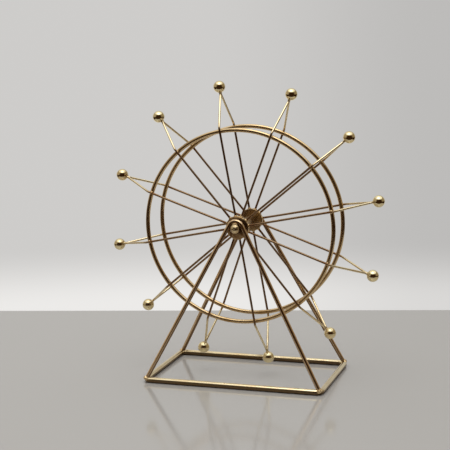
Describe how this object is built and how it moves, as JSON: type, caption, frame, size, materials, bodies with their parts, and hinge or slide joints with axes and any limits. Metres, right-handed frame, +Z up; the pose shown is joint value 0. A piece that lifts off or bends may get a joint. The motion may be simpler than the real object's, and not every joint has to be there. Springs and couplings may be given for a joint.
{
  "type": "desk ferris wheel ornament",
  "caption": "Gold wire ferris wheel ornament: a wheel with two rims and balls on bent spokes turns freely between inverted-V wire frames on a rectangular rod base.",
  "frame": {"origin": "on the table, under the middle of the base", "axes": "+Z up, +Y along the wheel axis towards the rear frame, +X to the right seen from the front"},
  "size_m": [0.237, 0.0948, 0.2488],
  "materials": {
    "base_rod": "polished gold plating",
    "leg_wire": "polished gold plating",
    "rim_wire": "polished gold plating",
    "spoke_wire": "polished gold plating",
    "ball": "mirror polished gold plating",
    "hub": "polished gold plating",
    "weld": "plated over rough weld metal",
    "axle_steel": "drawn steel, lightly oiled"
  },
  "bodies": {
    "stand": {"base_frame": "base_rod", "front_leg_frame": "leg_wire", "rear_leg_frame": "leg_wire", "foot_welds": "weld", "axle": "axle_steel", "front_axle_cap": "hub", "rear_axle_cap": "hub", "apex_welds": "weld", "front_washer": "axle_steel", "rear_washer": "axle_steel"},
    "wheel": {"hub_tube": "hub", "front_hub_disc": "hub", "rear_hub_disc": "hub", "front_ring": "rim_wire", "rear_ring": "rim_wire", "front_ring_welds": "weld", "rear_ring_welds": "weld", "front_spoke_01": "spoke_wire", "front_spoke_02": "spoke_wire", "front_spoke_03": "spoke_wire", "front_spoke_04": "spoke_wire", "front_spoke_05": "spoke_wire", "front_spoke_06": "spoke_wire", "front_spoke_07": "spoke_wire", "front_spoke_08": "spoke_wire", "front_spoke_09": "spoke_wire", "front_spoke_10": "spoke_wire", "front_spoke_11": "spoke_wire", "front_spoke_12": "spoke_wire", "rear_spoke_01": "spoke_wire", "rear_spoke_02": "spoke_wire", "rear_spoke_03": "spoke_wire", "rear_spoke_04": "spoke_wire", "rear_spoke_05": "spoke_wire", "rear_spoke_06": "spoke_wire", "rear_spoke_07": "spoke_wire", "rear_spoke_08": "spoke_wire", "rear_spoke_09": "spoke_wire", "rear_spoke_10": "spoke_wire", "rear_spoke_11": "spoke_wire", "rear_spoke_12": "spoke_wire", "ball_01": "ball", "ball_02": "ball", "ball_03": "ball", "ball_04": "ball", "ball_05": "ball", "ball_06": "ball", "ball_07": "ball", "ball_08": "ball", "ball_09": "ball", "ball_10": "ball", "ball_11": "ball", "ball_12": "ball"}
  },
  "joints": [
    {"name": "wheel_spin", "type": "hinge", "parent": "stand", "child": "wheel", "pos_m": [0, 0, 0.13], "axis": [0, 1, 0], "continuous": true}
  ]
}
